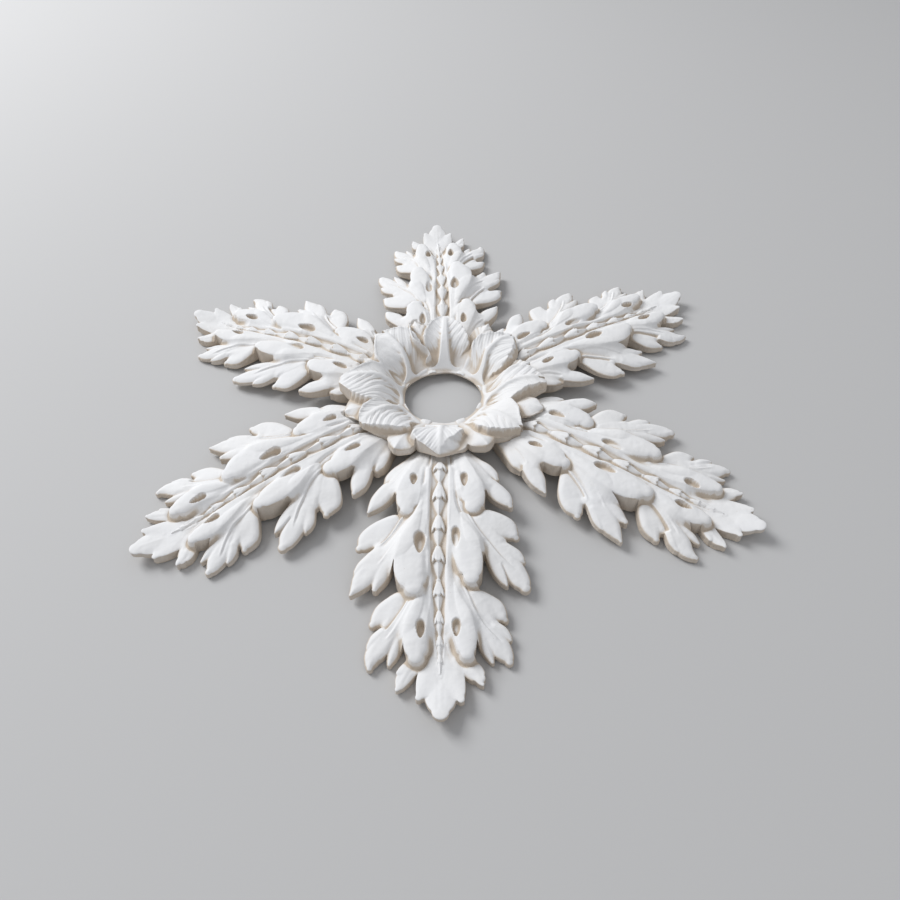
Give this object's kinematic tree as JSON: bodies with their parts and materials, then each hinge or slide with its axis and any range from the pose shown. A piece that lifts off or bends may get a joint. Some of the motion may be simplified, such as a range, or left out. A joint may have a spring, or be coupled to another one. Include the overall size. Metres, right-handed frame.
{
  "type": "ceiling rose",
  "caption": "Ceiling rose in cast plaster: a dished ring of carved leaves round a central hole, with long acanthus leaf castings radiating from under it.",
  "frame": {"origin": "centre of the rose's outline seen from above, in the plane of its flat backs; the hole's centre is 11 mm further along +Y, because the leaf laid at the front reaches further out than the one at the back", "axes": "+Z out of the carved face, square to the backs; -Y along the stem of acanthus_leaf_1 to within 2 degrees, towards its tip"},
  "size_m": [0.8309, 0.9508, 0.0555],
  "materials": {
    "ring_plaster": "matte",
    "leaf_plaster_1": "matte",
    "leaf_plaster_2": "matte",
    "leaf_plaster_3": "matte",
    "leaf_plaster_4": "matte",
    "leaf_plaster_5": "matte",
    "leaf_plaster_6": "matte"
  },
  "bodies": {
    "root": {"centre_ring": "ring_plaster", "acanthus_leaf_1": "leaf_plaster_1", "acanthus_leaf_2": "leaf_plaster_2", "acanthus_leaf_3": "leaf_plaster_3", "acanthus_leaf_4": "leaf_plaster_4", "acanthus_leaf_5": "leaf_plaster_5", "acanthus_leaf_6": "leaf_plaster_6"}
  },
  "joints": []
}
